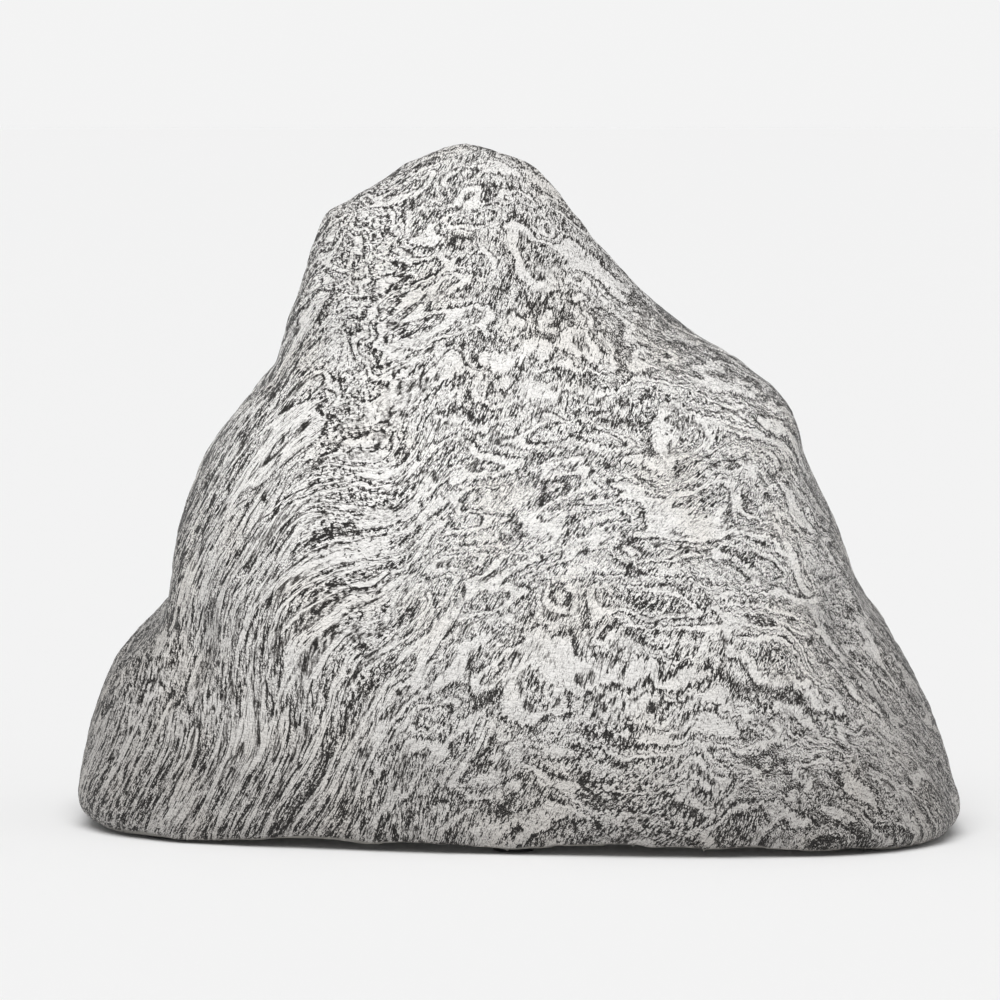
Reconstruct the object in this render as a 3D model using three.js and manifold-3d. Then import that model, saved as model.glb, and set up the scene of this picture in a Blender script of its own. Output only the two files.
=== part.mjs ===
// A hollow cast-resin rock for an aquarium or a pond: a thin shell with a cave mouth at the back,
// a stiffening ring bonded inside its rim, push-in silicone feet, ballast blocks and a vent bush.
// Millimetres, +Z up. The rock faces -Y; +X is its right-hand side seen from the front.

import * as THREE from "three";
import { mergeVertices } from "three/addons/utils/BufferGeometryUtils.js";
import Module from "manifold-3d";

const wasm = await Module();
wasm.setup();

const { degToRad, radToDeg, smoothstep, lerp } = THREE.MathUtils;
const TAU = 2 * Math.PI;

// ---- Driving dimensions ------------------------------------------------------------------------

// How far the rock reaches to each side at each height: [height, reach] pairs.
const LEFT_REACH = [
  [14, -200.2], [28, -197.8], [52, -192.3], [68, -184.8], [77, -177.8], [88, -163.8], [97, -158],
  [110, -157.2], [132, -154], [156, -146], [172, -138], [188, -126.2], [194, -121.2], [199, -114.6],
  [205, -111], [212, -109.2], [224, -106], [236, -100.8], [260, -93], [272, -88], [277, -84],
  [284, -71], [292, -58], [299, -46], [304, -34], [306, -27],
];
const RIGHT_REACH = [
  [12, 197.4], [36, 190.4], [52, 185], [76, 174.6], [92, 164.4], [100, 157.6], [116, 150], [140, 141],
  [164, 130.6], [180, 126], [190, 121.4], [197, 115.8], [204, 106], [212, 95], [220, 80.8], [236, 60.4],
  [252, 44], [268, 31], [284, 19], [292, 12], [299, 3], [304, -12], [306, -19],
];
const FRONT_REACH = [
  [20, -128], [50, -127], [80, -122], [120, -110], [160, -94], [200, -76], [235, -58],
  [262, -42], [286, -27], [298, -18], [304, -9], [306, -3],
];
const BACK_REACH = [
  [20, 126], [60, 124], [100, 116], [150, 100], [195, 82], [232, 65], [265, 46], [286, 31],
  [298, 20], [304, 10], [306, 4],
];
const CROWN_HEIGHT = 306.5;
const CROWN_X = -25;
const NOTCH_SLANT = 40; // the flanks' notches run this much lower towards the front, higher to the back
const NOTCH_FADE = 36; // and are smoothed out over this much height there
const FOOTPRINT_SKEW = 0.11; // the right end stands this far forward, per mm from the middle
const FOOTPRINT_BEND = 0.0002; // and both ends curl forward by this times the square of that distance
const BASE_SQUARENESS = 2.7; // superellipse exponent of the footprint
const CROWN_SQUARENESS = 2.1;

// Bulges (swell > 0) and hollows (swell < 0). Bearings are degrees round +Z from +X.
const LUMPS = [
  { name: "left corner groove", bearing: -152, height: 80, span: 9, rise: 34, swell: -9 },
  { name: "right corner groove", bearing: -24, height: 92, span: 9, rise: 26, swell: -6 },
  { name: "front right toe", bearing: -47, height: 36, span: 22, rise: 48, swell: 9 },
  { name: "front left flat", bearing: -116, height: 30, span: 22, rise: 55, swell: -12 },
  { name: "left waist", bearing: -148, height: 214, span: 28, rise: 15, swell: -6 },
  { name: "right shoulder", bearing: -32, height: 190, span: 20, rise: 20, swell: 8 },
  { name: "hollow over the shoulder", bearing: -42, height: 236, span: 24, rise: 20, swell: -5 },
  { name: "front belly", bearing: -95, height: 150, span: 26, rise: 38, swell: 6 },
  { name: "front crease", bearing: -112, height: 100, span: 8, rise: 44, swell: -4 },
  { name: "brow", bearing: -85, height: 266, span: 40, rise: 16, swell: 4 },
  { name: "back left buttress", bearing: 142, height: 120, span: 16, rise: 60, swell: 9 },
  { name: "back right buttress", bearing: 58, height: 150, span: 15, rise: 60, swell: 8 },
  { name: "back hollow", bearing: 104, height: 190, span: 22, rise: 34, swell: -7 },
  { name: "back ledge", bearing: 80, height: 244, span: 30, rise: 12, swell: 5 },
];

const BODY_BOTTOM = 14; // the sections' rings run from here,
const BODY_TOP = 294; // to here, in equal steps,
const BODY_STEPS = 29;
const CROWN_RINGS = [298, 301, 303, 304.8, 305.9]; // and then close up over the crown

const RIM_RADIUS = 12; // the rim rolls under on this radius
const RIM_ROLL_STOPS = [90, 64, 40, 18]; // degrees round the roll, from the underside up
const RIM_MEAN_LIFT = 1.9;
const RIM_LIFTS = [ // [bearing in degrees, height of the scalloped underside over the ground]
  [-180, 1.8], [-170, 2.2], [-160, 1.2], [-155, 0.5], [-150, 0.9], [-145, 1.0], [-140, 0.7],
  [-135, 0.3], [-130, 1.0], [-125, 2.0], [-120, 3.4], [-115, 4.1], [-110, 3.6], [-105, 2.0],
  [-100, 3.8], [-95, 3.2], [-90, 0.8], [-85, 3.6], [-80, 4.2], [-75, 3.4], [-70, 2.3], [-65, 2.8],
  [-60, 2.0], [-55, 1.3], [-50, 1.3], [-45, 1.4], [-40, 1.0], [-35, 0.7], [-30, 0.3], [-20, 0.9],
  [-10, 1.8], [0, 2.4], [12, 1.2], [25, 1.6], [38, 2.4], [50, 1.2], [62, 1.8], [75, 2.6],
  [90, 1.6], [102, 1.1], [114, 2.2], [125, 2.4], [138, 1.0], [150, 1.7], [162, 2.4], [172, 1.5],
  [180, 1.8],
];
const SCALLOP_FADE_HEIGHT = 70;

const WALL = 7; // level thickness of the shell's wall
const CROWN_WALL = 8;
const RIM_WALL = 9; // thickness outside the ring's rebate
const LEDGE_WALL = 14; // thickness of the ledge over the ring
const LEDGE_FADE_HEIGHT = 45; // the ledge thins out to the plain wall by here
const HOLLOW_TOP = 288; // the hollow's rings run from the ledge to here
const HOLLOW_STEPS = 18;
const HOLLOW_CROWN_RING = 293;
const OVERSHOOT = 10; // how far a cut runs past the surface it leaves by

const GAP = 0.3; // glue line between touching pieces
const FRAME_BOTTOM = 6;
const FRAME_THICKNESS = 8;
const FRAME_WIDTH = 26;
const FRAME_TOP = FRAME_BOTTOM + FRAME_THICKNESS;

const FOOT_BEARINGS = [-150, -90, -30, 22, 70, 116, 150];
const FOOT_RADIUS = 9;
const FOOT_STEM_RADIUS = 3.4;
const FOOT_BARB_RADIUS = 4.8;
const FOOT_BARB_HEIGHT = 3.6;
const FOOT_INSET = RIM_WALL + GAP + FRAME_WIDTH / 2;

const BALLAST_LEVELS = [FRAME_TOP + GAP, 22, 33, 46];
const BALLAST_CLEARANCE = 1.5; // bed of glue between a block and the wall
const BALLAST_COLUMNS = 7;
const BALLAST_HEEL = 32; // how far inside the outline the blocks' inner faces stand
const BALLAST_BATTER = 0.125; // those faces lean this much, per mm of height
const BALLAST_SPANS = [
  { name: "ballast_block_front_left", from: -138, to: -113 },
  { name: "ballast_block_front_right", from: -63, to: -40 },
  { name: "ballast_block_right", from: -21, to: 13 },
  { name: "ballast_block_left", from: 161, to: 201 },
];

const MOUTH_CENTRE_X = -12;
const MOUTH_SILL = 17;
const MOUTH_WIDTH = 122;
const MOUTH_HEIGHT = 92;
const MOUTH_CORNER = 8;

const EXIT_BEARING = 33;
const EXIT_SILL = 24;
const EXIT_WIDTH = 58;
const EXIT_HEIGHT = 52;

const VENT_HEIGHT = 256;
const VENT_X = -24;
const VENT_TILT = 38; // degrees the vent's axis rises from level
const VENT_RADIUS = 5;
const VENT_SEAT_RADIUS = 9;
const VENT_SEAT_DEPTH = 4; // how deep the seat is sunk into the slope
const VENT_REACH = 30; // the vent's hole runs this far in from its seat
const BUSH_BORE_RADIUS = 3;
const BUSH_FLANGE_RADIUS = 8;
const BUSH_FLANGE_THICKNESS = 2;
const BUSH_LENGTH = 9;

const SHELL_SEGMENTS = 72;
const HOLLOW_SEGMENTS = 56;
const ROUND_SEGMENTS = 20;

// ---- Materials ---------------------------------------------------------------------------------

const printedResin = new THREE.MeshStandardMaterial({ color: 0xa9a6a2, roughness: 0.62, metalness: 0 });
const rawResin = new THREE.MeshStandardMaterial({ color: 0x8d8a84, roughness: 0.7, metalness: 0 });
const silicone = new THREE.MeshStandardMaterial({ color: 0x2b2b2c, roughness: 0.55, metalness: 0 });
const ballastCement = new THREE.MeshStandardMaterial({ color: 0x77736c, roughness: 0.9, metalness: 0 });

// ---- Solids and surfaces -----------------------------------------------------------------------

function solidOf(geometry) {
  const bare = geometry.clone();
  bare.deleteAttribute("normal");
  bare.deleteAttribute("uv");
  const merged = mergeVertices(bare, 1e-3);
  return new wasm.Manifold(
    new wasm.Mesh({
      numProp: 3,
      vertProperties: merged.attributes.position.array,
      triVerts: new Uint32Array(merged.index.array),
    }),
  );
}

function geometryOf(solid) {
  const mesh = solid.getMesh();
  const geometry = new THREE.BufferGeometry();
  geometry.setAttribute("position", new THREE.BufferAttribute(mesh.vertProperties, 3));
  geometry.setIndex(new THREE.BufferAttribute(mesh.triVerts, 1));
  geometry.computeVertexNormals();
  return geometry;
}

// A closed surface over rings of points listed from the bottom up, ended by a fan to a point at each end.
function loft(rings, bottomPoint, topPoint) {
  const segments = rings[0].length;
  const points = [...rings.flat(), bottomPoint, topPoint];
  const bottom = points.length - 2;
  const top = points.length - 1;
  const lastRing = (rings.length - 1) * segments;
  const index = [];
  for (let i = 0; i < segments; i++) {
    const next = (i + 1) % segments;
    index.push(bottom, next, i);
    index.push(top, lastRing + i, lastRing + next);
    for (let ring = 0; ring < rings.length - 1; ring++) {
      const low = ring * segments;
      const high = low + segments;
      index.push(low + i, low + next, high + next);
      index.push(low + i, high + next, high + i);
    }
  }
  const geometry = new THREE.BufferGeometry().setFromPoints(points);
  geometry.setIndex(index);
  return geometry;
}

// ---- The rock's outer form ---------------------------------------------------------------------

// A smooth curve through [height, reach] pairs.
function reachCurve(stations) {
  const heights = new Float32Array(stations.map(([height]) => height));
  const reaches = new Float32Array(stations.map(([, reach]) => reach));
  const spline = new THREE.CubicInterpolant(heights, reaches, 1);
  return (height) => spline.evaluate(THREE.MathUtils.clamp(height, heights[0], heights.at(-1)))[0];
}

const leftReach = reachCurve(LEFT_REACH);
const rightReach = reachCurve(RIGHT_REACH);
const frontReach = reachCurve(FRONT_REACH);
const backReach = reachCurve(BACK_REACH);

// The reach averaged over a stretch of height.
function smoothedReach(reach, height, spread) {
  return (reach(height - spread) + 2 * reach(height) + reach(height + spread)) / 4;
}

// Swell of the lumps at a bearing (radians) and a height.
function lumpSwell(bearing, height) {
  return LUMPS.reduce((sum, lump) => {
    const turn = bearing - degToRad(lump.bearing);
    const across = Math.atan2(Math.sin(turn), Math.cos(turn)) / degToRad(lump.span);
    const along = (height - lump.height) / lump.rise;
    return sum + lump.swell * Math.exp(-across * across - along * along);
  }, 0);
}

// The point of the level outline at this height and bearing, moved inwards by inset.
function outlinePoint(bearing, height, inset) {
  const cosine = Math.cos(bearing);
  const sine = Math.sin(bearing);
  const taper = Math.max(0, 1 - height / CROWN_HEIGHT);
  const flankHeight = height - NOTCH_SLANT * taper * sine;
  const fade = NOTCH_FADE * taper * Math.abs(sine);
  const left = smoothedReach(leftReach, flankHeight, fade);
  const right = smoothedReach(rightReach, flankHeight, fade);
  const front = frontReach(height);
  const back = backReach(height);
  const squareness = lerp(CROWN_SQUARENESS, BASE_SQUARENESS, taper);
  const arm = new THREE.Vector2(
    ((right - left) / 2) * Math.sign(cosine) * Math.abs(cosine) ** (2 / squareness),
    ((back - front) / 2) * Math.sign(sine) * Math.abs(sine) ** (2 / squareness),
  );
  arm.setLength(Math.max(arm.length() + lumpSwell(bearing, height) - inset, 1));
  const x = (left + right) / 2 + arm.x;
  return new THREE.Vector2(x, (front + back) / 2 + arm.y - (FOOTPRINT_SKEW + FOOTPRINT_BEND * x) * x * taper);
}

// How far the scalloped rim lifts a point that would lie at this height on a flat one.
function scallopLift(bearing, height) {
  const turn = radToDeg(bearing);
  const degrees = turn > 180 ? turn - 360 : turn;
  const next = Math.max(1, RIM_LIFTS.findIndex(([stop]) => stop >= degrees));
  const [[from, lower], [to, upper]] = RIM_LIFTS.slice(next - 1, next + 1);
  return lerp(lower, upper, smoothstep(degrees, from, to)) * (1 - smoothstep(height, 0, SCALLOP_FADE_HEIGHT));
}

function ringAt(segments, height, level, inset, lifted) {
  return Array.from({ length: segments }, (_, i) => {
    const bearing = (TAU * i) / segments;
    const { x, y } = outlinePoint(bearing, height, inset);
    return new THREE.Vector3(x, y, level + (lifted ? scallopLift(bearing, level) : 0));
  });
}

function outerForm() {
  const rings = [];
  for (const roll of RIM_ROLL_STOPS) {
    const inset = RIM_RADIUS * (1 - Math.cos(degToRad(roll)));
    const level = RIM_RADIUS * (1 - Math.sin(degToRad(roll)));
    rings.push(ringAt(SHELL_SEGMENTS, level, level, inset, true));
  }
  for (let i = 0; i <= BODY_STEPS; i++) {
    const height = lerp(BODY_BOTTOM, BODY_TOP, i / BODY_STEPS);
    rings.push(ringAt(SHELL_SEGMENTS, height, height, 0, true));
  }
  for (const height of CROWN_RINGS) {
    rings.push(ringAt(SHELL_SEGMENTS, height, height, 0, false));
  }
  return loft(rings, new THREE.Vector3(0, 0, RIM_MEAN_LIFT), new THREE.Vector3(CROWN_X, 0, CROWN_HEIGHT));
}

// ---- The hollow inside -------------------------------------------------------------------------

function wallAt(height) {
  return lerp(LEDGE_WALL, WALL, smoothstep(height, FRAME_TOP, LEDGE_FADE_HEIGHT));
}

// The wall's inner face above the ledge. It follows the outside a little higher up, so that the
// sloping wall keeps its thickness.
function innerPoint(bearing, height, clearance) {
  const climb = lerp(0, CROWN_WALL - 2, smoothstep(height, 40, 120));
  return outlinePoint(bearing, height + climb, wallAt(height) + clearance);
}

function innerRing(segments, height) {
  return Array.from({ length: segments }, (_, i) => {
    const { x, y } = innerPoint((TAU * i) / segments, height, 0);
    return new THREE.Vector3(x, y, height);
  });
}

function hollowForm() {
  const ledge = FRAME_TOP + GAP;
  const rebate = [-OVERSHOOT, ledge].map((level) => ringAt(HOLLOW_SEGMENTS, ledge, level, RIM_WALL, false));
  const cave = [];
  for (let i = 0; i <= HOLLOW_STEPS; i++) {
    cave.push(innerRing(HOLLOW_SEGMENTS, lerp(ledge, HOLLOW_TOP, i / HOLLOW_STEPS)));
  }
  cave.push(innerRing(HOLLOW_SEGMENTS, HOLLOW_CROWN_RING));
  const bottom = new THREE.Vector3(0, 0, -OVERSHOOT);
  const top = new THREE.Vector3(CROWN_X, 0, CROWN_HEIGHT - CROWN_WALL);
  return loft([...rebate, ...cave], bottom, top);
}

// ---- Openings through the wall -----------------------------------------------------------------

// An upright outline pushed through the back wall along Y, from inside the hollow.
function wallCutter(outline, x, sill) {
  const inside = BACK_REACH[0][1] / 2;
  const outside = BACK_REACH[0][1] + 6 * OVERSHOOT;
  const cutter = new THREE.ExtrudeGeometry(outline, {
    depth: outside - inside,
    bevelEnabled: false,
    curveSegments: 10,
  });
  cutter.rotateX(Math.PI / 2);
  return cutter.translate(x, outside, sill);
}

// A rough arch standing on its sill.
function caveMouthCutter() {
  const half = MOUTH_WIDTH / 2;
  const crownPoints = [
    [0.95, 0.42], [0.66, 0.78], [0.16, 1], [-0.4, 0.93], [-0.84, 0.62],
  ].map(([across, up]) => new THREE.Vector2(half * across, MOUTH_HEIGHT * up));
  const arch = new THREE.Shape();
  arch.moveTo(-half, MOUTH_CORNER);
  arch.quadraticCurveTo(-half, 0, -half + MOUTH_CORNER, 0);
  arch.lineTo(half - MOUTH_CORNER, 0);
  arch.quadraticCurveTo(half, 0, half, MOUTH_CORNER);
  arch.splineThru([...crownPoints, new THREE.Vector2(-half, MOUTH_CORNER)]);
  return wallCutter(arch, MOUTH_CENTRE_X, MOUTH_SILL);
}

// A smaller rounded hole, turned to face the right-hand back flank.
function sideExitCutter() {
  const hole = new THREE.Shape();
  hole.absellipse(0, EXIT_HEIGHT / 2, EXIT_WIDTH / 2, EXIT_HEIGHT / 2, 0, TAU);
  return wallCutter(hole, 0, EXIT_SILL).rotateZ(degToRad(EXIT_BEARING - 90));
}

// Places geometry made along +Z from the vent's seat onto the crown's back slope.
function placeAtVent(geometry) {
  const seat = outlinePoint(Math.PI / 2, VENT_HEIGHT, 0);
  const axis = new THREE.Vector3(0, Math.cos(degToRad(VENT_TILT)), Math.sin(degToRad(VENT_TILT)));
  geometry.rotateX(degToRad(VENT_TILT - 90));
  geometry.translate(VENT_X, seat.y, VENT_HEIGHT);
  geometry.translate(...axis.multiplyScalar(-VENT_SEAT_DEPTH));
  return geometry;
}

function rod(radius, from, to) {
  const cylinder = new THREE.CylinderGeometry(radius, radius, to - from, ROUND_SEGMENTS);
  cylinder.rotateX(Math.PI / 2);
  return cylinder.translate(0, 0, (from + to) / 2);
}

// ---- Pieces ------------------------------------------------------------------------------------

function rockShell() {
  const shell = solidOf(outerForm())
    .subtract(solidOf(hollowForm()))
    .subtract(solidOf(caveMouthCutter()))
    .subtract(solidOf(sideExitCutter()))
    .subtract(solidOf(placeAtVent(rod(VENT_RADIUS, -VENT_REACH, OVERSHOOT))))
    .subtract(solidOf(placeAtVent(rod(VENT_SEAT_RADIUS, 0, 2 * OVERSHOOT))));
  return new THREE.Mesh(geometryOf(shell), printedResin);
}

function frameOutline(inset) {
  return Array.from({ length: SHELL_SEGMENTS }, (_, i) => {
    return outlinePoint((TAU * i) / SHELL_SEGMENTS, FRAME_TOP + GAP, RIM_WALL + inset);
  });
}

function footCentre(bearing) {
  return outlinePoint(degToRad(bearing), FRAME_TOP, FOOT_INSET);
}

function rimFrame() {
  const flat = new THREE.Shape(frameOutline(GAP * 2));
  flat.holes.push(new THREE.Path(frameOutline(GAP + FRAME_WIDTH)));
  for (const bearing of FOOT_BEARINGS) {
    const { x, y } = footCentre(bearing);
    flat.holes.push(new THREE.Path().absarc(x, y, FOOT_STEM_RADIUS + GAP, 0, TAU));
  }
  const ring = new THREE.ExtrudeGeometry(flat, {
    depth: FRAME_THICKNESS,
    bevelEnabled: false,
    curveSegments: 10,
  });
  ring.translate(0, 0, FRAME_BOTTOM);
  return new THREE.Mesh(geometryOf(solidOf(ring)), rawResin);
}

// A flat pad under the ring, a stem through it and a barb that snaps out on top.
function footPad() {
  const underRing = FRAME_BOTTOM - GAP;
  const overRing = FRAME_TOP + GAP;
  const profile = [
    [0, 0],
    [FOOT_RADIUS - 1, 0],
    [FOOT_RADIUS, 1],
    [FOOT_RADIUS, underRing - 1.2],
    [FOOT_RADIUS - 1.2, underRing],
    [FOOT_STEM_RADIUS, underRing],
    [FOOT_STEM_RADIUS, overRing],
    [FOOT_BARB_RADIUS, overRing],
    [FOOT_STEM_RADIUS - 1, overRing + FOOT_BARB_HEIGHT],
    [0, overRing + FOOT_BARB_HEIGHT],
  ].map(([x, y]) => new THREE.Vector2(x, y));
  const pad = new THREE.LatheGeometry(profile, ROUND_SEGMENTS);
  pad.rotateX(Math.PI / 2);
  return new THREE.Mesh(geometryOf(solidOf(pad)), silicone);
}

// A cast block standing on the ring, its outer face following the wall.
function ballastBlock({ from, to }) {
  const slices = Array.from({ length: BALLAST_COLUMNS + 1 }, (_, i) => {
    return degToRad(lerp(from, to, i / BALLAST_COLUMNS));
  });
  const rings = BALLAST_LEVELS.map((level) => {
    const heel = BALLAST_HEEL + BALLAST_BATTER * (level - FRAME_TOP);
    const outside = slices.map((bearing) => innerPoint(bearing, level, BALLAST_CLEARANCE));
    const inside = slices.map((bearing) => outlinePoint(bearing, FRAME_TOP, heel));
    return [...outside, ...inside.reverse()].map(({ x, y }) => new THREE.Vector3(x, y, level));
  });
  const middle = (ring) => {
    return ring.reduce((sum, point) => sum.add(point), new THREE.Vector3()).divideScalar(ring.length);
  };
  const block = loft(rings, middle(rings[0]), middle(rings.at(-1)));
  return new THREE.Mesh(geometryOf(solidOf(block)), ballastCement);
}

function ventBush() {
  const profile = [
    [BUSH_BORE_RADIUS, -BUSH_LENGTH],
    [VENT_RADIUS - GAP, -BUSH_LENGTH],
    [VENT_RADIUS - GAP, GAP],
    [BUSH_FLANGE_RADIUS, GAP],
    [BUSH_FLANGE_RADIUS, GAP + BUSH_FLANGE_THICKNESS / 2],
    [BUSH_FLANGE_RADIUS - 1, GAP + BUSH_FLANGE_THICKNESS],
    [BUSH_BORE_RADIUS, GAP + BUSH_FLANGE_THICKNESS],
    [BUSH_BORE_RADIUS, -BUSH_LENGTH],
  ].map(([x, y]) => new THREE.Vector2(x, y));
  const bush = new THREE.LatheGeometry(profile, ROUND_SEGMENTS);
  bush.rotateX(Math.PI / 2);
  return new THREE.Mesh(geometryOf(solidOf(placeAtVent(bush))), silicone);
}

// ---- Assembly ----------------------------------------------------------------------------------

const ornament = new THREE.Group();

function addPiece(name, mesh) {
  mesh.name = name;
  ornament.add(mesh);
  return mesh;
}

addPiece("rock_shell", rockShell());
addPiece("rim_frame", rimFrame());
FOOT_BEARINGS.forEach((bearing, i) => {
  const { x, y } = footCentre(bearing);
  addPiece("foot_pad_" + (i + 1), footPad()).position.set(x, y, 0);
});
for (const span of BALLAST_SPANS) addPiece(span.name, ballastBlock(span));
addPiece("vent_bush", ventBush());

// The origin is the middle of the footprint, at the feet's underside.
const middle = new THREE.Box3().setFromObject(ornament, true).getCenter(new THREE.Vector3());
ornament.position.set(-middle.x, -middle.y, 0);

export default ornament;
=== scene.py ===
import math

import bmesh
import bpy
import numpy as np
from mathutils import Matrix, Vector
from mathutils.bvhtree import BVHTree


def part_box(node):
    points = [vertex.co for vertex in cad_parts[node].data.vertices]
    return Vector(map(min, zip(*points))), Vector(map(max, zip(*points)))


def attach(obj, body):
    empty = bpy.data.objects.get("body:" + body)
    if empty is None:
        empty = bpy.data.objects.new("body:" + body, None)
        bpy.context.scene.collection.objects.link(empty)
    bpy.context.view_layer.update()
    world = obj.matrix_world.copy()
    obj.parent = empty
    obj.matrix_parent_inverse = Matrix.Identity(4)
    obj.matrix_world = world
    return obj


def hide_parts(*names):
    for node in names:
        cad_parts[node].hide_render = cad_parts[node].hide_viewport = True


# A hollow cast-resin rock for an aquarium: a printed stone film over the outside, bare resin inside,
# a stiffening ring, silicone feet, ballast blocks and a vent bush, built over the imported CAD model.
# Objects are in metres. Names that end in _MM, and the arrays of points, are in millimetres.

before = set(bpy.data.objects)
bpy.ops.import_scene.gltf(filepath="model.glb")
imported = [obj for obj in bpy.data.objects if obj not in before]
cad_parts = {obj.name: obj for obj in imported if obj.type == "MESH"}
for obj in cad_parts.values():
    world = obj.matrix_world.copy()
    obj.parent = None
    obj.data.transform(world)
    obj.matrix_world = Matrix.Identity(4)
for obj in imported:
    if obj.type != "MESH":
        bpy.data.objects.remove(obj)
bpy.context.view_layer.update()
MM = 0.001

# ---- Camera, floor and light -------------------------------------------------------------------

CAMERA_TARGET = Vector((-0.00635, 0.0, 0.1458))
CAMERA_DISTANCE = 2.6
CAMERA_ELEVATION = math.radians(4.0)
CAMERA_LENS_MM = 207.4
CAMERA_SENSOR_MM = 36.0
CAMERA_REACH = 100.0
KEY_STRENGTH = 2.22
KEY_SOFTNESS = math.radians(50)
KEY_TURN = (math.radians(26), 0, math.radians(-8))
SKY_COLOUR = (1, 1, 1, 1)
SKY_STRENGTH = 0.36
SKY_BAND = (0.08, 0.3)  # heights, as sines, between which the horizon's bright band fades
SKY_BAND_STRENGTH = 0.90
FLOOR_REACH = 60.0
FLOOR_COLOUR = (0.90, 0.90, 0.90, 1.0)
FLOOR_ROUGHNESS = 0.95

# ---- The rock's surface ------------------------------------------------------------------------

ROCK_VOXEL_MM = 1.6
ROCK_SMOOTHING_ROUNDS = 16
OUTSIDE_WAVES = [(60, 1.1), (30, 0.9), (14, 0.55), (7, 0.3), (4.2, 0.2)]  # (size, height) in mm
INSIDE_WAVES = [(24, 0.6), (9, 0.3)]
VENT_CLEARANCE_MM = (13.0, 26.0)  # round the vent the wall stays as in CAD, then eases into the rest
CORE_X_MM = -10  # the middle of the hollow, which faces are turned away from or towards
CORE_FLATNESS = 0.5
OUTSIDE_FACING = 0.3  # CAD faces turned outwards by more than this, as a cosine, carry the print,
INSIDE_FACING = -0.55  # and those turned inwards by more than this are bare
LINER_DEPTH_MM = 7.0
LINER_DEPTHS_MM = (3, 6)  # deeper than between these the surface counts as the inside
LINER_SHARE = 0.5
ROLL_FACING = (0.75, 1.0)  # how squarely the rim's rolled edge has to face down to be bare,
RIM_HEIGHTS_MM = (12, 20)  # and below what height

# ---- Where the printed film is folded ----------------------------------------------------------

CALM_SIDE_X_MM = (-105.0, -40.0)  # the print is calm left of here and stirred up right of here
LAYER_SLOPES = [  # how steeply the print's layers climb towards +X: (x, slope)
    (-220, 1.9), (-110, 1.6), (-55, 0.95), (0, 0.4), (45, 0.0), (100, -0.35), (220, -0.6),
]
LAYER_STATIONS = 500
LAYER_DEPTH_SLOPE = 0.6
CLEAVAGE = math.radians(62.0)  # the dashes' direction, up from +X
# Folds: (size in mm, reach in mm, the share of it that the calm side has).
BROAD_FOLDS = [(120, 20.0, 0.3), (55, 11.0, 0.3), (24, 5.2, 0.15), (11, 2.0, 0.15)]
CREST_FOLDS = [(26, 9.0, 0.2), (12, 4.2, 0.25), (6, 1.6, 0.3)]
FOLD_STRETCH = (0.8, 0.5, 1.0)  # how far the broad folds reach along X, Y and Z
FOLD_DEPTH = 0.45  # below 1, folds run on further into the depth than across
GRAIN_SHARES = (1.0, 0.5, 0.12, 0.1)  # how far the grain follows each broad fold
CREST_STRETCH = 3.0  # how much longer the crests are along the grain than across it
SWING_REACH_MM = 30.0  # the print swings upright on the calm side between these heights
SWING_HEIGHTS_MM = (35, 115)
TURN_CENTRE_MM = 95  # to the right of here the dashes lie along the layers,
TURN_WIDTH_MM = (-45, 45)
TURN_SLANT = 0.55  # and further left above this height
TURN_SLANT_FROM_MM = 100
TURN_SLANT_REACH_MM = 100
EDGE_FACING = (0.1, 0.65)  # painted shade: the film is darkened, as a denser print, where the rock turns away from the front, and near the rim
EDGE_RIM_SHARE = 0.7
EDGE_RIM_HEIGHTS_MM = (0, 60)
BROAD_SEED_STEP, CREST_SEED, OUTSIDE_SEED, INSIDE_SEED, WEAR_SEED = 10, 50, 60, 70, 80

# ---- The print's noises and tones --------------------------------------------------------------

NOISE_MIDDLE = 0.5
# Scales of each noise, per millimetre: across the grain, into the depth and along the grain, or,
# for those that follow the layers, over the layers, across the grain and along it.
TEETH_SCALES, TEETH = (0.62, 0.2, 0.10), dict(detail=1.0, roughness=0.6)
STEEP_SCALES, DASHES = (1.25, 0.25), dict(detail=2.0, roughness=0.7)
LEVEL_SCALES = (1.15, 0.28, 0.28)
STIPPLE_SCALES, STIPPLE = (2.2, 0.7, 1.1), dict(detail=1.0, roughness=0.8)
BAND_SCALES, BANDS = (1 / 22, 1 / 46, 1 / 46), dict(detail=1.2)
STRAND_SCALES, STRANDS = (1 / 4.5, 1 / 30, 1 / 30), dict(detail=1.0)
# Pairs: on the calm side, where it is stirred up.
STREAK_SCALES = (0.13, 0.28)
SPREAD_SHARES = (0.4, 1.0)
TEETH_REACHES_MM = (2.5, 9.0)
ZONE_STRENGTHS = (0.88, 1.0)
STRAND_STRENGTHS = (0.95, 0.5)
# Steps: (value from, value to) or (value from, value to, result from, result to).
TURN_STEP = (0.45, 0.55)
LINE_STEP = (0.38, 0.60, 1.25, 0.25)  # contour lines break up between the dashes
DASH_STEP = (0.0, 0.05)
STIPPLE_STEP = (0.0, 1.0, -1.0, -4.0)
TURN_UNEVEN = 1.2
EDGE_SHADE_TONE = 0.42
ZONE_TONE = 0.10
DASH_LEVEL = 0.645
DASH_ZONE_SHARE = -0.21
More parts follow.
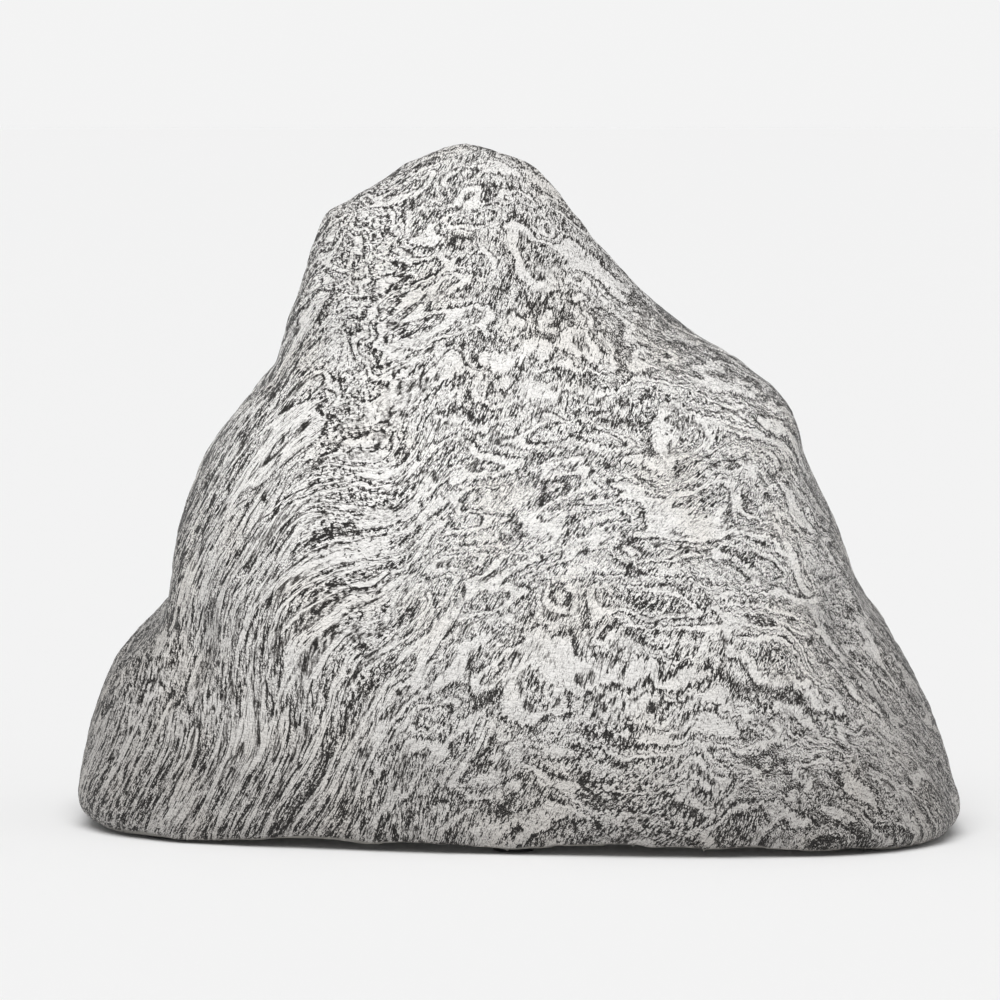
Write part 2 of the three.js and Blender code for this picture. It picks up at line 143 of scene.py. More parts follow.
# How dark the print is against its two noises: pale and grey layers, with dark lines between them.
ZONE_TONES = [
    (0.33, 0.7), (0.36, 0.1), (0.43, 0.0), (0.45, 0.8), (0.50, 0.5), (0.53, 0.1), (0.57, 0.0),
    (0.60, 0.75), (0.68, 0.35),
]
CONTOUR_TONES = [
    (0.342, 0.0), (0.352, 0.8), (0.366, 0.8), (0.376, 0.0), (0.438, 0.0), (0.448, 1.0), (0.466, 1.0),
    (0.476, 0.0), (0.518, 0.0), (0.526, 0.8), (0.538, 0.8), (0.546, 0.0), (0.588, 0.0), (0.597, 1.0),
    (0.615, 1.0), (0.625, 0.0),
]
STRAND_TONES = [
    (0.36, 0.5), (0.39, 0.0), (0.43, 0.0), (0.445, 0.9), (0.46, 0.0), (0.495, 0.0), (0.515, 0.9),
    (0.535, 0.0), (0.60, 0.0), (0.62, 0.6),
]

# ---- The materials' colours and noises; steps as above, noise scales per millimetre ------------

STONE_COLOURS = [  # from no ink to solid ink
    (0.0, (0.95, 0.935, 0.915)), (0.15, (0.77, 0.755, 0.74)), (0.38, (0.35, 0.34, 0.33)),
    (0.68, (0.082, 0.076, 0.070)), (0.95, (0.012, 0.010, 0.009)),
]
SPECKLE = dict(detail=2.0, roughness=0.7, scale=1.3)
DIRT_AND_SHADE = dict(detail=2.0, scale=0.03)
WARM_STEP, WARM_TINT = (0.45, 0.7, 0.0, 0.3), (0.94, 0.90, 0.84, 1.0)
BASE_SHADE_STEP, BASE_SHADE_TINT = (-70.0, 140.0, 1.0, 0.0), (0.58, 0.57, 0.56, 1.0)  # painted shade, darkest at the base, stepped over the height in mm, which is raised and lowered by the dirt-and-shade noise, lowered where the rock turns away, and lowered towards both ends
BASE_SHADE_UNEVEN_MM = 80.0  # which is raised and lowered by the dirt noise,
BASE_SHADE_EDGE_MM = -60.0  # lowered where the rock turns away,
BASE_SHADE_BOW = -1 / 400  # and lowered towards both ends
COVER_UNEVEN_MM = 3.0
COVER_STEP = (3.0, 5.0)  # the film wears off between these depths in mm
WRINKLE_STRETCH, WRINKLE = (0.4, 0.4, 1.0), dict(detail=2.0, roughness=0.6, scale=0.75)
WRINKLE_HEIGHT_MM = 1.2
# Painted shade: the colour darkens in the wrinkles' furrows.
FURROW_SHADE_STEP, FURROW_SHADE_TINT = (0.0, 0.05, 0.28, 0.0), (0.30, 0.29, 0.28, 1.0)
FILM_ROUGHNESS = (0.3, 0.7, 0.42, 0.62)
FILM_IOR, FILM_SPECULAR = 1.5, 0.3

RESIN_COLOURS = [(0.3, (0.20, 0.19, 0.175)), (0.5, (0.27, 0.26, 0.24)), (0.72, (0.34, 0.33, 0.305))]
CLOUD = dict(detail=4.0, roughness=0.6, scale=0.05)
FLECK = dict(detail=2.0, roughness=0.7, scale=0.7)
FLECK_STEP, FLECK_COLOUR = (0.62, 0.7, 0.0, 0.5), (0.45, 0.44, 0.42, 1.0)
FLOW_STRETCH, FLOW = (0.06, 0.06, 0.16), dict(detail=3.0, roughness=0.55)
FLOW_HEIGHT_MM = 1.2
RESIN_PITS, RESIN_PIT_STEP = dict(detail=1.0, scale=0.35), (0.24, 0.34)
RESIN_PIT_DEPTH_MM = 0.5
RESIN_ROUGHNESS = (0.35, 0.65, 0.38, 0.6)
RESIN_IOR = 1.52

CEMENT_COLOURS = [(0.3, (0.085, 0.08, 0.072)), (0.5, (0.18, 0.17, 0.155)), (0.7, (0.30, 0.285, 0.26))]
SAND = dict(detail=4.0, roughness=0.75, scale=0.8)
SAND_HEIGHT_MM = 0.5
BLOOM = dict(detail=3.0, roughness=0.6, scale=0.06)
BLOOM_STEP, BLOOM_COLOUR = (0.45, 0.68, 0.0, 0.55), (0.42, 0.41, 0.385, 1.0)
CEMENT_PITS, CEMENT_PIT_STEP = dict(detail=2.0, scale=0.28), (0.3, 0.42)
CEMENT_PIT_DEPTH_MM = 0.8
CEMENT_ROUGHNESS = (0.3, 0.7, 0.8, 0.97)
CEMENT_IOR = 1.45

SILICONE_COLOURS = [
    (0.35, (0.012, 0.012, 0.013)), (0.6, (0.024, 0.024, 0.025)), (0.8, (0.06, 0.058, 0.055)),
]
SILICONE_GRAIN = dict(detail=3.0, roughness=0.7, scale=2.2)
SILICONE_GRAIN_MM = 0.12
DUST = dict(detail=3.0, roughness=0.6, scale=0.18)
SILICONE_ROUGHNESS = (0.35, 0.7, 0.42, 0.62)
SILICONE_IOR = 1.41

# ---- The smaller pieces ------------------------------------------------------------------------

RING_VOXEL_MM = 1.2
RING_SMOOTHING_ROUNDS = 5
RING_WAVES = [(22, 0.35), (6, 0.25)]  # (size, depth)
BALLAST_PLACES = ("front_left", "front_right", "right", "left")
BALLAST_VOXEL_MM = 1.2
BALLAST_SMOOTHING_ROUNDS = 10
BALLAST_WAVES = [(20, 0.8), (7, 0.9), (3.5, 0.6)]
TURN_STEPS = 72
FILLET_STEPS = 4
SHARP_ANGLE = math.radians(45)
WELD_DISTANCE = 1e-6
# Profiles are corners: (radius, height, fillet) in mm.
FOOT_RADIUS_MM = 9.0
FOOT_SIDE = [(0, 0.0, 0.8), (0, 1.9, 0.3), (-0.5, 2.4, 0.3), (-0.5, 3.4, 0.3), (0, 3.9, 0.3), (0, 5.7, 0.9)]
FOOT_PAD_TOP_MM = 5.7
FOOT_STEM_RADIUS_MM = 3.2
FOOT_BARB_MM = (4.8, 14.35, 17.9)  # radius, underside, tip
FOOT_BARB_EDGE_MM = 0.8
GRIP_RING_COUNT = 3
GRIP_RING_FIRST_MM = 1.6
GRIP_RING_PITCH_MM = 2.1
GRIP_RING_DEPTH_MM = 0.6
GRIP_RING_FILLET_MM = 0.12
GRIP_RING_SHAPE = [(0.0, 1), (0.2, 0), (0.45, 0), (0.65, 1)]  # (share of the pitch, share of the depth)
VENT_RISE = math.radians(38)
BUSH_BORE_MM = 3.0
BUSH_TUBE_MM = (4.45, 4.7)  # radius between and over the sealing ribs
BUSH_RIBS_MM = (-7.6, -5.2, -2.8)
BUSH_RIB_HALVES_MM = (0.2, 0.6)  # over its crest and its root
BUSH_RIB_FILLET_MM = 0.15
BUSH_FLANGE_MM = (8.0, 0.3, 2.3)  # radius, underside, top
BUSH_LENGTH_MM = 9.0

# ---- Arrays ------------------------------------------------------------------------------------

NOISE_GRID = 32
NOISE_GAIN = 1.7
SEED_STEP = np.array([7.31, 13.77, 3.93])
SMOOTHING_STEPS = (0.62, -0.64)  # each round smooths, then swells back

rng = np.random.default_rng(150)
GRADIENTS = rng.normal(size=(NOISE_GRID, NOISE_GRID, NOISE_GRID, 3))
GRADIENTS /= np.linalg.norm(GRADIENTS, axis=-1, keepdims=True)


def gradient_noise(points, size, seed):
    """Smooth noise from about -1 to 1 with features about size across, at points (n, 3)."""
    scaled = points / size + seed * SEED_STEP
    cell = np.floor(scaled).astype(int)
    local = scaled - cell
    fade = local**3 * (local * (local * 6 - 15) + 10)
    total = np.zeros(len(scaled))
    for corner in np.ndindex(2, 2, 2):
        index = (cell + corner) % NOISE_GRID
        gradient = GRADIENTS[index[:, 0], index[:, 1], index[:, 2]]
        weight = np.where(corner, fade, 1 - fade).prod(axis=1)
        total += weight * ((local - corner) * gradient).sum(axis=1)
    return total * NOISE_GAIN


def waves(points, sizes, seed):
    """Noise at each point from (size, height) waves."""
    return sum(height * gradient_noise(points, size, seed + i) for i, (size, height) in enumerate(sizes))


def smoothstep(value, low, high):
    t = np.clip((value - low) / (high - low), 0, 1)
    return t * t * (3 - 2 * t)


def array_of(items, key, width, kind=float):
    values = np.zeros(len(items) * width, kind)
    items.foreach_get(key, values)
    return values.reshape(-1, width)


class Surface:
    """A CAD node's surface as a fine, even mesh, held as arrays in millimetres while it is shaped."""

    def __init__(self, node, voxel):
        work = bpy.data.objects.new("work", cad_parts[node].data.copy())
        bpy.context.scene.collection.objects.link(work)
        weld(work.data)
        remesh = work.modifiers.new("remesh", "REMESH")
        remesh.mode = "VOXEL"
        remesh.voxel_size = voxel * MM
        mesh = bpy.data.meshes.new_from_object(work.evaluated_get(bpy.context.evaluated_depsgraph_get()))
        self.points = array_of(mesh.vertices, "co", 3) / MM
        self.edges = array_of(mesh.edges, "vertices", 2, int)
        self.faces = array_of(mesh.loops, "vertex_index", 1, int).reshape(-1, 4)
        bpy.data.objects.remove(work)
        bpy.data.meshes.remove(mesh)

    def gathered(self, values):
        """For each point, the sum of values over the points it shares an edge with."""
        a, b = self.edges.T
        count = len(self.points)
        sums = [np.bincount(a, v[b], count) + np.bincount(b, v[a], count) for v in values.T]
        return np.stack(sums, axis=1)

    def smooth(self, rounds, share=1.0):
        """Evens the surface out without shrinking it."""
        neighbours = np.maximum(self.gathered(np.ones((len(self.points), 1))), 1)
        for _ in range(rounds):
            for strength in SMOOTHING_STEPS:
                mean = self.gathered(self.points) / neighbours
                self.points += strength * share * (mean - self.points)

    def normals(self):
        a, b, c, d = (self.points[self.faces[:, i]] for i in range(4))
        flat = np.cross(c - a, d - b)
        count = len(self.points)
        sums = [sum(np.bincount(self.faces[:, i], axis, count) for i in range(4)) for axis in flat.T]
        total = np.stack(sums, axis=1)
        return total / np.maximum(np.linalg.norm(total, axis=1, keepdims=True), 1e-12)

    def push(self, distance):
        self.points += self.normals() * distance[:, None]

    def face_means(self, values):
        return values[self.faces].mean(axis=1)

    def piece(self, name, chosen, fields, material, replaced=()):
        """A Blender object of the chosen faces, with the fields as point attributes."""
        normals = self.normals()
        used, faces = np.unique(self.faces[chosen], return_inverse=True)
        mesh = bpy.data.meshes.new(name)
        mesh.from_pydata((self.points[used] * MM).tolist(), [], faces.reshape(-1, 4).tolist())
        mesh.shade_smooth()
        mesh.normals_split_custom_set_from_vertices(normals[used].tolist())
        for field, values in fields.items():
            kind, key = ("FLOAT", "value") if values.ndim == 1 else ("FLOAT_VECTOR", "vector")
            attribute = mesh.attributes.new(field, kind, "POINT")
            attribute.data.foreach_set(key, values[used].astype(np.float32).ravel())
        finished(name, mesh, material, replaced)


def weld(mesh):
    shaped = bmesh.new()
    shaped.from_mesh(mesh)
    bmesh.ops.remove_doubles(shaped, verts=shaped.verts, dist=WELD_DISTANCE)
    shaped.to_mesh(mesh)
    shaped.free()


def finished(name, mesh, material, replaced):
    """Puts a piece into the scene, on the part's one body, in place of the CAD nodes named."""
    obj = bpy.data.objects.new(name, mesh)
    bpy.context.scene.collection.objects.link(obj)
    mesh.materials.append(material)
    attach(obj, "root")
    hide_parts(*replaced)


# ---- Node materials ----------------------------------------------------------------------------


class Shading:
    """A material and short ways to add nodes to it. A value may be a number or another node's output."""

    def __init__(self, name, **settings):
        self.material = bpy.data.materials.new(name)
        self.material.use_nodes = True
        self.tree = self.material.node_tree
        self.surface = self.tree.nodes["Principled BSDF"]
        for socket, value in settings.items():
            self.plug(self.surface.inputs[socket.replace("_", " ")], value)

    def plug(self, socket, value):
        if isinstance(value, bpy.types.NodeSocket):
            self.tree.links.new(value, socket)
        else:
            socket.default_value = value

    def node(self, kind, inputs, **settings):
        made = self.tree.nodes.new(kind)
        for key, value in settings.items():
            setattr(made, key, value)
        for key, value in inputs.items():
            self.plug(made.inputs[key], value)
        return made

    def field(self, name, vector=False):
        made = self.node("ShaderNodeAttribute", {}, attribute_name=name)
        return made.outputs["Vector" if vector else "Fac"]

    def place(self):
        """The point's place in the row frame, in millimetres."""
        spot = self.node("ShaderNodeTexCoord", {}).outputs["Object"]
        return self.vector("SCALE", spot, scale=1 / MM)

    def math(self, operation, a, b=0.0):
        return self.node("ShaderNodeMath", {0: a, 1: b}, operation=operation).outputs[0]

    def plus(self, a, b):
        return self.math("ADD", a, b)

    def minus(self, a, b):
        return self.math("SUBTRACT", a, b)

    def times(self, a, b):
        return self.math("MULTIPLY", a, b)

    def top(self, a, b):
        return self.math("MAXIMUM", a, b)

    def distance(self, a, b):
        return self.math("ABSOLUTE", self.minus(a, b))

    def mixed(self, share, a, b):
        return self.node("ShaderNodeMix", {0: share, 2: a, 3: b}, data_type="FLOAT").outputs[0]

    def vector(self, operation, a, b=(0, 0, 0), scale=1.0):
        return self.node("ShaderNodeVectorMath", {0: a, 1: b, 3: scale}, operation=operation).outputs[0]

    def split(self, vector):
        return self.node("ShaderNodeSeparateXYZ", {0: vector}).outputs[:3]

    def joined(self, x, y, z):
        return self.node("ShaderNodeCombineXYZ", {0: x, 1: y, 2: z}).outputs[0]

    def noise(self, vector, detail=2.0, roughness=0.5, scale=1.0):
        inputs = {"Vector": vector, "Scale": scale, "Detail": detail, "Roughness": roughness}
        return self.node("ShaderNodeTexNoise", inputs).outputs["Fac"]

    def stretched(self, parts, scales, settings):
        """Noise over three numbers, each with its own scale."""
        scaled = [self.times(part, scale) for part, scale in zip(parts, scales)]
        return self.noise(self.joined(*scaled), **settings)

    def off_middle(self, noise, reach):
        """A noise as a distance to both sides of 0."""
        return self.times(self.minus(noise, NOISE_MIDDLE), reach)

    def step(self, value, low, high, start=0.0, end=1.0):
        """Smooth step of value from start at low to end at high."""
        made = self.node(
            "ShaderNodeMapRange",
            {"Value": value, "From Min": low, "From Max": high, "To Min": start, "To Max": end},
            interpolation_type="SMOOTHSTEP",
        )
        return made.outputs["Result"]

    def eased(self, share, start, end):
        """Start where share is 0 and end where it is 1."""
        return self.step(share, 0.0, 1.0, start, end)

    def colours(self, value, stops):
        """A colour ramp through (position, colour) stops."""
        made = self.node("ShaderNodeValToRGB", {"Fac": value})
        ramp = made.color_ramp
        while len(ramp.elements) < len(stops):
            ramp.elements.new(0.5)
        for element, (position, colour) in zip(ramp.elements, stops):
            element.position = position
            element.color = (*colour, 1.0)
        return made.outputs["Color"]

    def ramp(self, value, stops):
        """A number that follows (position, number) stops."""
        return self.colours(value, [(position, (number,) * 3) for position, number in stops])

    def blend(self, share, a, b, mode="MIX"):
        made = self.node("ShaderNodeMix", {0: share, 6: a, 7: b}, data_type="RGBA", blend_type=mode)
        return made.outputs[2]

    def bump(self, height, reach_mm, under=None):
        inputs = {"Height": height, "Distance": reach_mm * MM, "Strength": 1.0}
        if under is not None:
            inputs["Normal"] = under
        return self.node("ShaderNodeBump", inputs).outputs["Normal"]

    def finish(self, colour, roughness, normal):
        self.plug(self.surface.inputs["Base Color"], colour)
        self.plug(self.surface.inputs["Roughness"], roughness)
        self.plug(self.surface.inputs["Normal"], normal)
        return self.material


def print_ink(s):
    """How dark the print is: folded layers edged with saw-toothed lines, filled with stippled dashes."""
    across, depth, along = grain = s.split(s.field("grain", vector=True))
    stirred = s.field("stirred")
    spread = s.times(s.plus(along, depth), s.eased(stirred, *SPREAD_SHARES))
    teeth = s.stretched(grain, TEETH_SCALES, TEETH)
    layer = s.plus(s.field("layer"), s.off_middle(teeth, s.eased(stirred, *TEETH_REACHES_MM)))
    layered = (layer, across, spread)
    bands = s.stretched(layered, BAND_SCALES, BANDS)
    strands = s.stretched(layered, STRAND_SCALES, STRANDS)
    steep = s.stretched(grain, (*STEEP_SCALES, s.eased(stirred, *STREAK_SCALES)), DASHES)
    level = s.stretched(layered, LEVEL_SCALES, DASHES)
    turn = s.plus(s.field("turn"), s.off_middle(bands, TURN_UNEVEN))
    dashes = s.mixed(s.step(turn, *TURN_STEP), steep, level)
    stipple = s.stretched(grain, STIPPLE_SCALES, STIPPLE)
    zone = s.times(s.ramp(bands, ZONE_TONES), s.eased(stirred, *ZONE_STRENGTHS))
    # Painted shade: the print is made denser and darker where the rock turns away from the front and near
    # the rim.
    zone = s.plus(zone, s.times(s.field("edge_shade"), EDGE_SHADE_TONE))
    hairs = s.times(s.ramp(strands, STRAND_TONES), s.eased(stirred, *STRAND_STRENGTHS))
    lines = s.times(s.top(s.ramp(bands, CONTOUR_TONES), hairs), s.step(dashes, *LINE_STEP))
    level_to_pass = s.plus(DASH_LEVEL, s.times(zone, DASH_ZONE_SHARE))
    dash = s.step(s.minus(s.minus(1.0, dashes), level_to_pass), *DASH_STEP)
    fine = s.off_middle(stipple, s.step(zone, *STIPPLE_STEP))
    return s.plus(s.plus(s.top(lines, dash), fine), s.times(zone, ZONE_TONE))


def printed_film():
    """The stone print on its resin, with the mould's wrinkled grain, worn off where the film ends, and
    painted shade: darker towards the base, the sides and both ends, and in the wrinkles' furrows.
    """
    s = Shading("printed_film", IOR=FILM_IOR, Specular_IOR_Level=FILM_SPECULAR)
    place = s.place()
    speckle = s.noise(place, **SPECKLE)
    dirt_and_shade = s.noise(place, **DIRT_AND_SHADE)
    stone = s.colours(print_ink(s), STONE_COLOURS)
    warm = s.blend(s.step(dirt_and_shade, *WARM_STEP), stone, WARM_TINT, "MULTIPLY")
    # Painted shade: the film darkens towards the base, where the rock turns away from the front, and
    # towards both ends.
    x, _, z = s.split(place)
    reach = s.plus(s.off_middle(dirt_and_shade, BASE_SHADE_UNEVEN_MM), s.times(s.field("edge_shade"), BASE_SHADE_EDGE_MM))
    height = s.plus(s.plus(z, reach), s.times(s.times(x, x), BASE_SHADE_BOW))
    base_shaded = s.blend(s.step(height, *BASE_SHADE_STEP), warm, BASE_SHADE_TINT, "MULTIPLY")
    cover = s.step(s.plus(s.field("depth"), s.times(speckle, COVER_UNEVEN_MM)), *COVER_STEP)
    colour = s.blend(cover, base_shaded, raw_resin_colour(s, place))
    wrinkle = s.noise(s.vector("MULTIPLY", place, WRINKLE_STRETCH), **WRINKLE)
    # Painted shade in the wrinkles' furrows.
    furrow_shade = s.step(s.distance(wrinkle, NOISE_MIDDLE), *FURROW_SHADE_STEP)
    colour = s.blend(furrow_shade, colour, FURROW_SHADE_TINT, "MULTIPLY")
    return s.finish(colour, s.step(speckle, *FILM_ROUGHNESS), s.bump(wrinkle, WRINKLE_HEIGHT_MM))


def raw_resin_colour(s, place):
    base = s.colours(s.noise(place, **CLOUD), RESIN_COLOURS)
    return s.blend(s.step(s.noise(place, **FLECK), *FLECK_STEP), base, FLECK_COLOUR)


def raw_resin():
    """Bare cast resin: cloudy grey, with flow marks, small pits and flecks of filler."""
    s = Shading("raw_resin", IOR=RESIN_IOR)
    place = s.place()
    flow = s.noise(s.vector("MULTIPLY", place, FLOW_STRETCH), **FLOW)
    pits = s.step(s.noise(place, **RESIN_PITS), *RESIN_PIT_STEP)
    normal = s.bump(pits, RESIN_PIT_DEPTH_MM, s.bump(flow, FLOW_HEIGHT_MM))
    return s.finish(raw_resin_colour(s, place), s.step(flow, *RESIN_ROUGHNESS), normal)


def cement():
    """Cement bound with resin: sandy, pitted, with pale lime bloom."""
    s = Shading("ballast_cement", IOR=CEMENT_IOR)
    place = s.place()
    sand = s.noise(place, **SAND)
    bloom = s.step(s.noise(place, **BLOOM), *BLOOM_STEP)
    colour = s.blend(bloom, s.colours(sand, CEMENT_COLOURS), BLOOM_COLOUR)
    pits = s.step(s.noise(place, **CEMENT_PITS), *CEMENT_PIT_STEP)
    normal = s.bump(pits, CEMENT_PIT_DEPTH_MM, s.bump(sand, SAND_HEIGHT_MM))
    return s.finish(colour, s.step(sand, *CEMENT_ROUGHNESS), normal)


def silicone():
    """Black moulded silicone with a dusty bloom and a fine matt grain."""
    s = Shading("silicone", IOR=SILICONE_IOR)
    place = s.place()
    dust = s.noise(place, **DUST)
    normal = s.bump(s.noise(place, **SILICONE_GRAIN), SILICONE_GRAIN_MM)
    return s.finish(s.colours(dust, SILICONE_COLOURS), s.step(dust, *SILICONE_ROUGHNESS), normal)


# ---- Rock pieces -------------------------------------------------------------------------------


def fold_strength(share, stirred):
    return share + (1 - share) * stirred


def folded_print(points, stirred):
    """Where each point lies on the flat print before it was folded: for its layers, and for its grain."""
    layered = points.copy()
    layered[:, 0] += SWING_REACH_MM * (1 - stirred) * smoothstep(points[:, 2], *SWING_HEIGHTS_MM)
    grained = layered.copy()
    spots = points * [1, FOLD_DEPTH, 1]
    for order, (size, reach, share) in enumerate(BROAD_FOLDS):
        for axis, stretch in enumerate(FOLD_STRETCH):
            moved = gradient_noise(spots, size, BROAD_SEED_STEP * order + axis)
            fold = stretch * reach * fold_strength(share, stirred) * moved
            layered[:, axis] += fold
            grained[:, axis] += fold * GRAIN_SHARES[order]
    return layered, grained


def print_fields(points, normals):
    """The print's layers and grain at each point, where it is stirred up or turned, and its painted shade
    where the rock turns away from the front or nears the rim.
    """
    x, _, z = points.T
    stirred = smoothstep(x, *CALM_SIDE_X_MM)
    layered, grained = folded_print(points, stirred)
    rise = np.array([math.cos(CLEAVAGE), 0, math.sin(CLEAVAGE)])
    side = np.array([math.sin(CLEAVAGE), 0, -math.cos(CLEAVAGE)])
    grain = np.stack([grained @ side, grained[:, 1], grained @ rise], axis=1)
    shift = np.zeros(len(points))
    for order, (size, reach, share) in enumerate(CREST_FOLDS):
        crest = gradient_noise(grain * [1, FOLD_DEPTH, 1 / CREST_STRETCH], size, CREST_SEED + order)
        shift += reach * fold_strength(share, stirred) * crest
    layered = layered + shift[:, None] * rise
    stations, slopes = np.array(LAYER_SLOPES, float).T
    run = np.linspace(stations[0], stations[-1], LAYER_STATIONS)
    climb = np.cumsum(np.interp(run, stations, slopes)) * (run[1] - run[0])
    layer = layered[:, 2] - np.interp(layered[:, 0], run, climb) + LAYER_DEPTH_SLOPE * layered[:, 1]
    slant = TURN_SLANT * np.clip(z - TURN_SLANT_FROM_MM, 0, TURN_SLANT_REACH_MM)
    turn = smoothstep(x - TURN_CENTRE_MM + slant, *TURN_WIDTH_MM)
    # Painted shade, towards the rock's edges as seen from the front and near the rim.
    away = 1 - smoothstep(np.abs(normals[:, 1]), *EDGE_FACING)
    low = EDGE_RIM_SHARE * (1 - smoothstep(z, *EDGE_RIM_HEIGHTS_MM))
    return {"grain": grain, "layer": layer, "stirred": stirred, "turn": turn, "edge_shade": np.maximum(away, low)}


def outward(face):
    """How squarely a CAD face is turned away from the middle of the hollow, as a cosine."""
    x, y, z = face.center / MM
    return face.normal.dot(Vector((x - CORE_X_MM, y, z * CORE_FLATNESS)).normalized())


def cover_depth(points, normals):
    """How far each point lies from the outside the print was floated onto; 0 on that outside."""
    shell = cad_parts["rock_shell"].data
    corners = [v.co / MM for v in shell.vertices]
    faces = [p.vertices[:] for p in shell.polygons]
    facing = [outward(p) for p in shell.polygons]
    printed = [face for face, turn in zip(faces, facing) if turn > OUTSIDE_FACING]
    whole, outside = (BVHTree.FromPolygons(corners, chosen) for chosen in (faces, printed))
    depth = np.full(len(points), LINER_DEPTH_MM)
    for i, point in enumerate(points):
        if facing[whole.find_nearest(Vector(point))[2]] > INSIDE_FACING:
            depth[i] = outside.find_nearest(Vector(point))[3]
    rolled = smoothstep(-normals[:, 2], *ROLL_FACING) * (1 - smoothstep(points[:, 2], *RIM_HEIGHTS_MM))
    return np.maximum(depth, LINER_DEPTH_MM * rolled)


def rock(bare):
    surface = Surface("rock_shell", ROCK_VOXEL_MM)
    low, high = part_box("vent_bush")
    vent = np.array((low + high) / 2) / MM
    free = smoothstep(np.linalg.norm(surface.points - vent, axis=1), *VENT_CLEARANCE_MM)
    surface.smooth(ROCK_SMOOTHING_ROUNDS, free[:, None])
    depth = cover_depth(surface.points, surface.normals())
    inside = smoothstep(depth, *LINER_DEPTHS_MM)
    outer = (1 - inside) * waves(surface.points, OUTSIDE_WAVES, OUTSIDE_SEED)
    inner = inside * waves(surface.points, INSIDE_WAVES, INSIDE_SEED)
    surface.push((outer + inner) * free)
    fields = print_fields(surface.points, surface.normals()) | {"depth": depth}
    lining = surface.face_means(inside) > LINER_SHARE
    back = surface.face_means(surface.points[:, 1]) > 0
    film = printed_film()
    surface.piece("rock_skin_front", ~lining & ~back, fields, film, ["rock_shell"])
    surface.piece("rock_skin_back", ~lining & back, fields, film)
    surface.piece("rock_liner", lining, fields, bare)


# ---- Ring, ballast, feet and vent bush ---------------------------------------------------------


def carved(name, node, voxel, rounds, sizes, material):
    """A CAD node's piece with softened edges and a surface worn in from its CAD faces, never out."""
    surface = Surface(node, voxel)
    surface.smooth(rounds)
    worn = np.zeros(len(surface.points))
    for i, (size, depth) in enumerate(sizes):
        worn -= depth * np.abs(gradient_noise(surface.points, size, WEAR_SEED + i))
    surface.push(worn)
    everything = np.ones(len(surface.faces), bool)
    surface.piece(name, everything, {}, material, [node])


def rim_ring(bare):
    carved("rim_ring", "rim_frame", RING_VOXEL_MM, RING_SMOOTHING_ROUNDS, RING_WAVES, bare)


def ballast(material):
    for place in BALLAST_PLACES:
        carved(
            "ballast_cast_" + place, "ballast_block_" + place, BALLAST_VOXEL_MM, BALLAST_SMOOTHING_ROUNDS,
            BALLAST_WAVES, material,
        )


def rounded(profile):
    """The corners of a profile as (radius, height) points, with its fillets rounded."""
    points = []
    for i, (radius, height, fillet) in enumerate(profile):
        corner = Vector((radius, height))
        if fillet == 0:
            points.append(corner)
            continue
        following = profile[(i + 1) % len(profile)]
        before, after = (
            (Vector(other[:2]) - corner).normalized() * fillet for other in (profile[i - 1], following)
        )
        for step in range(FILLET_STEPS + 1):
            t = step / FILLET_STEPS
            points.append(corner + before * (1 - t) ** 2 + after * t**2)
    return points


def turned(name, profile, closed, place, material, node):
    """A silicone piece turned about place's Z axis; place is a matrix in millimetres."""
    outline = rounded(profile)
    shaped = bmesh.new()
    rings = []
    for step in range(TURN_STEPS):
        angle = math.tau * step / TURN_STEPS
        spots = [place @ Vector((p.x * math.cos(angle), p.x * math.sin(angle), p.y)) for p in outline]
        rings.append([shaped.verts.new(spot * MM) for spot in spots])
    for step, ring in enumerate(rings):
        other = rings[(step + 1) % TURN_STEPS]
        for i in range(len(outline) if closed else len(outline) - 1):
            j = (i + 1) % len(outline)
            shaped.faces.new((ring[i], other[i], other[j], ring[j]))
    bmesh.ops.remove_doubles(shaped, verts=shaped.verts, dist=WELD_DISTANCE)
    bmesh.ops.recalc_face_normals(shaped, faces=shaped.faces)
    mesh = bpy.data.meshes.new(name)
    shaped.to_mesh(mesh)
    shaped.free()
    mesh.shade_smooth()
    mesh.set_sharp_from_angle(angle=SHARP_ANGLE)
    finished(name, mesh, material, [node])


def grip_rings():
    """Corners of concentric ribs on the foot's underside, from the inside out."""
    corners = []
    for i in range(GRIP_RING_COUNT):
        radius = GRIP_RING_FIRST_MM + i * GRIP_RING_PITCH_MM
        for along, up in GRIP_RING_SHAPE:
            corner = (radius + along * GRIP_RING_PITCH_MM, up * GRIP_RING_DEPTH_MM, GRIP_RING_FILLET_MM)
            corners.append(corner)
    return corners


def foot_profile():
    """A flat pad with grip rings under it and a waist round it, a stem, and a barb with a round tip."""
    barb, under, tip = FOOT_BARB_MM
    stem = FOOT_STEM_RADIUS_MM
    return [
        (0.0, GRIP_RING_DEPTH_MM, 0),
        *grip_rings(),
        *((FOOT_RADIUS_MM + out, height, fillet) for out, height, fillet in FOOT_SIDE),
        (stem, FOOT_PAD_TOP_MM, 0.5),
        (stem, under, 0.3),
        (barb, under, 0.4),
        (barb, under + FOOT_BARB_EDGE_MM, 0.4),
        (stem - 1, tip, 0.8),
        (0.0, tip, 0),
    ]


def bush_ribs():
    (tube, rib), (crest, root) = BUSH_TUBE_MM, BUSH_RIB_HALVES_MM
    shape = [(tube, -root), (rib, -crest), (rib, crest), (tube, root)]
    return [(radius, level + up, BUSH_RIB_FILLET_MM) for level in BUSH_RIBS_MM for radius, up in shape]


